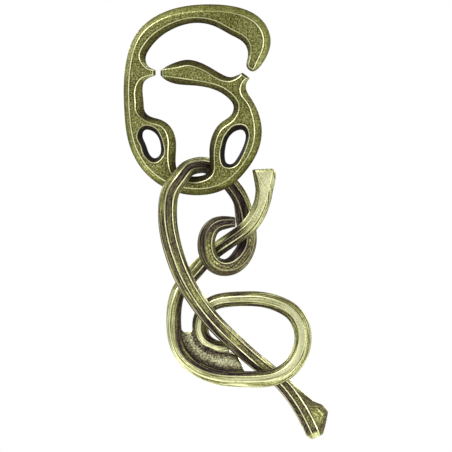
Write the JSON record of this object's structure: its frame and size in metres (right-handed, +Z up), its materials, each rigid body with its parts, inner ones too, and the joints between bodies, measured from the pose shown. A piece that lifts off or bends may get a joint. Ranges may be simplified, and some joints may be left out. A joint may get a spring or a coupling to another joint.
{
  "type": "metal ring disentanglement puzzle",
  "caption": "Linked metal disentanglement puzzle: an open ring plate with windows, a long hook bar ending in an eye, and a spiral bar threaded through the eye and round the hook.",
  "frame": {"origin": "inner edge of the ring plate's top band, half way through the plate, where the puzzle hangs on a peg", "axes": "+X to the right of the ring plate's front face, +Y from its front to its back, +Z up from the hanging castings to the ring"},
  "size_m": [0.0534, 0.0141, 0.1135],
  "materials": {
    "ring_brass": "antique brass, sandy cast faces with polished edges",
    "hook_brass": "antique brass, darkened flats with polished edges",
    "spiral_brass": "antique brass, brushed bright on its raised faces"
  },
  "bodies": {
    "ring": {"ring_plate": "ring_brass"},
    "hook": {"hook_bar": "hook_brass"},
    "spiral": {"spiral_bar": "spiral_brass"}
  },
  "joints": [
    {"name": "hook_swing", "type": "hinge", "parent": "ring", "child": "hook", "pos_m": [0, 0, -0.0395], "axis": [1, 0, 0], "range_deg": [-42, 8]},
    {"name": "spiral_swing", "type": "hinge", "parent": "hook", "child": "spiral", "pos_m": [0.0063, 0.0016, -0.0575], "axis": [0.3522, 0.2034, -0.9135], "range_deg": [0, 65]}
  ]
}
